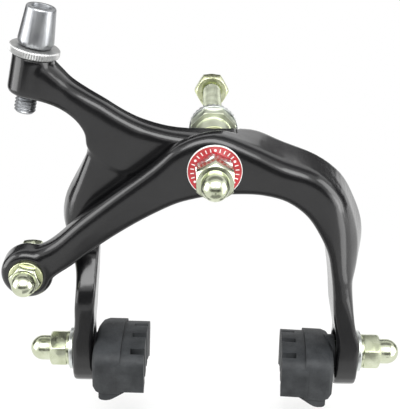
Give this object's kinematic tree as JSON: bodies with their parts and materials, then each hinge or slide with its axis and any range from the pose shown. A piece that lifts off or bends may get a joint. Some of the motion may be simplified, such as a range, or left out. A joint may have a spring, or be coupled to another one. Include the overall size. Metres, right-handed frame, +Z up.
{
  "type": "side-pull caliper brake",
  "caption": "Side-pull caliper brake for a bicycle: two curved arms on one pivot bolt, with rubber shoes, a cable anchor, a barrel adjuster and a return spring.",
  "frame": {"origin": "on the pivot bolt's axis, in the rear face of the serrated washer that meets the fork or frame", "axes": "+Y along the pivot bolt, backwards into the fork or frame; +Z up; -Y is the front; the cable side is -X"},
  "size_m": [0.1189, 0.0904, 0.1188],
  "materials": {
    "black_arm": "gloss black paint",
    "zinc_steel": "bright zinc plate",
    "yellow_zinc": "yellow zinc plate",
    "spring_steel": "bright spring wire",
    "turned_aluminium": "turned",
    "red_badge": "gloss red with a white rim",
    "pad_rubber": "matt dark grey",
    "nylon": "matt"
  },
  "bodies": {
    "pivot": {"pivot_bolt": "zinc_steel", "return_spring": "spring_steel", "serrated_washer": "zinc_steel", "backing_washer": "zinc_steel", "rear_arm_washer": "yellow_zinc", "middle_washer": "yellow_zinc", "badge_washer": "red_badge", "pivot_thin_nut": "zinc_steel", "pivot_acorn_nut": "zinc_steel", "mounting_lock_nut": "yellow_zinc", "lock_nut_insert": "nylon"},
    "front_arm": {"front_arm": "black_arm"},
    "rear_arm": {"rear_arm": "black_arm"},
    "cable_anchor": {"anchor_bolt": "zinc_steel", "anchor_washer": "yellow_zinc", "anchor_acorn_nut": "zinc_steel"},
    "adjuster": {"barrel_adjuster": "turned_aluminium"},
    "lock_ring": {"adjuster_lock_ring": "turned_aluminium"},
    "left_clamp": {"left_shoe_washer": "zinc_steel", "left_shoe_spring_washer": "zinc_steel", "left_shoe_acorn_nut": "zinc_steel"},
    "left_shoe": {"left_brake_shoe": "pad_rubber", "left_shoe_stud": "zinc_steel"},
    "right_clamp": {"right_shoe_washer": "zinc_steel", "right_shoe_spring_washer": "zinc_steel", "right_shoe_acorn_nut": "zinc_steel"},
    "right_shoe": {"right_brake_shoe": "pad_rubber", "right_shoe_stud": "zinc_steel"}
  },
  "joints": [
    {"name": "front_arm_pivot", "type": "hinge", "parent": "pivot", "child": "front_arm", "pos_m": [0, 0, 0], "axis": [0, 1, 0], "range_deg": [0, 14], "stiffness_Nm_per_rad": 1, "springref_deg": -20.05, "deforming": ["return_spring"]},
    {"name": "rear_arm_pivot", "type": "hinge", "parent": "pivot", "child": "rear_arm", "pos_m": [0, 0, 0], "axis": [0, -1, 0], "range_deg": [0, 14], "stiffness_Nm_per_rad": 1, "springref_deg": -20.05, "deforming": ["return_spring"]},
    {"name": "anchor_turn", "type": "hinge", "parent": "front_arm", "child": "cable_anchor", "pos_m": [-0.053, -0.0231, -0.034], "axis": [0, 1, 0], "range_deg": [-30, 30]},
    {"name": "adjuster_screw", "type": "hinge", "parent": "rear_arm", "child": "adjuster", "pos_m": [-0.0518, -0.022, 0.0168], "axis": [0.2079, 0, 0.9781], "continuous": true},
    {"name": "lock_ring_turn", "type": "hinge", "parent": "rear_arm", "child": "lock_ring", "pos_m": [-0.0518, -0.022, 0.0168], "axis": [0.2079, 0, 0.9781], "continuous": true},
    {"name": "left_shoe_height", "type": "slide", "parent": "rear_arm", "child": "left_clamp", "axis": [0, 0, 1], "range_m": [-0.0015, 0.004]},
    {"name": "left_shoe_tilt", "type": "hinge", "parent": "left_clamp", "child": "left_shoe", "pos_m": [-0.0349, -0.026, -0.0634], "axis": [1, 0, 0], "range_deg": [-25, 25]},
    {"name": "right_shoe_height", "type": "slide", "parent": "front_arm", "child": "right_clamp", "axis": [0, 0, 1], "range_m": [-0.0022, 0.0033]},
    {"name": "right_shoe_tilt", "type": "hinge", "parent": "right_clamp", "child": "right_shoe", "pos_m": [0.0383, -0.026, -0.0627], "axis": [-1, 0, 0], "range_deg": [-25, 25]}
  ]
}
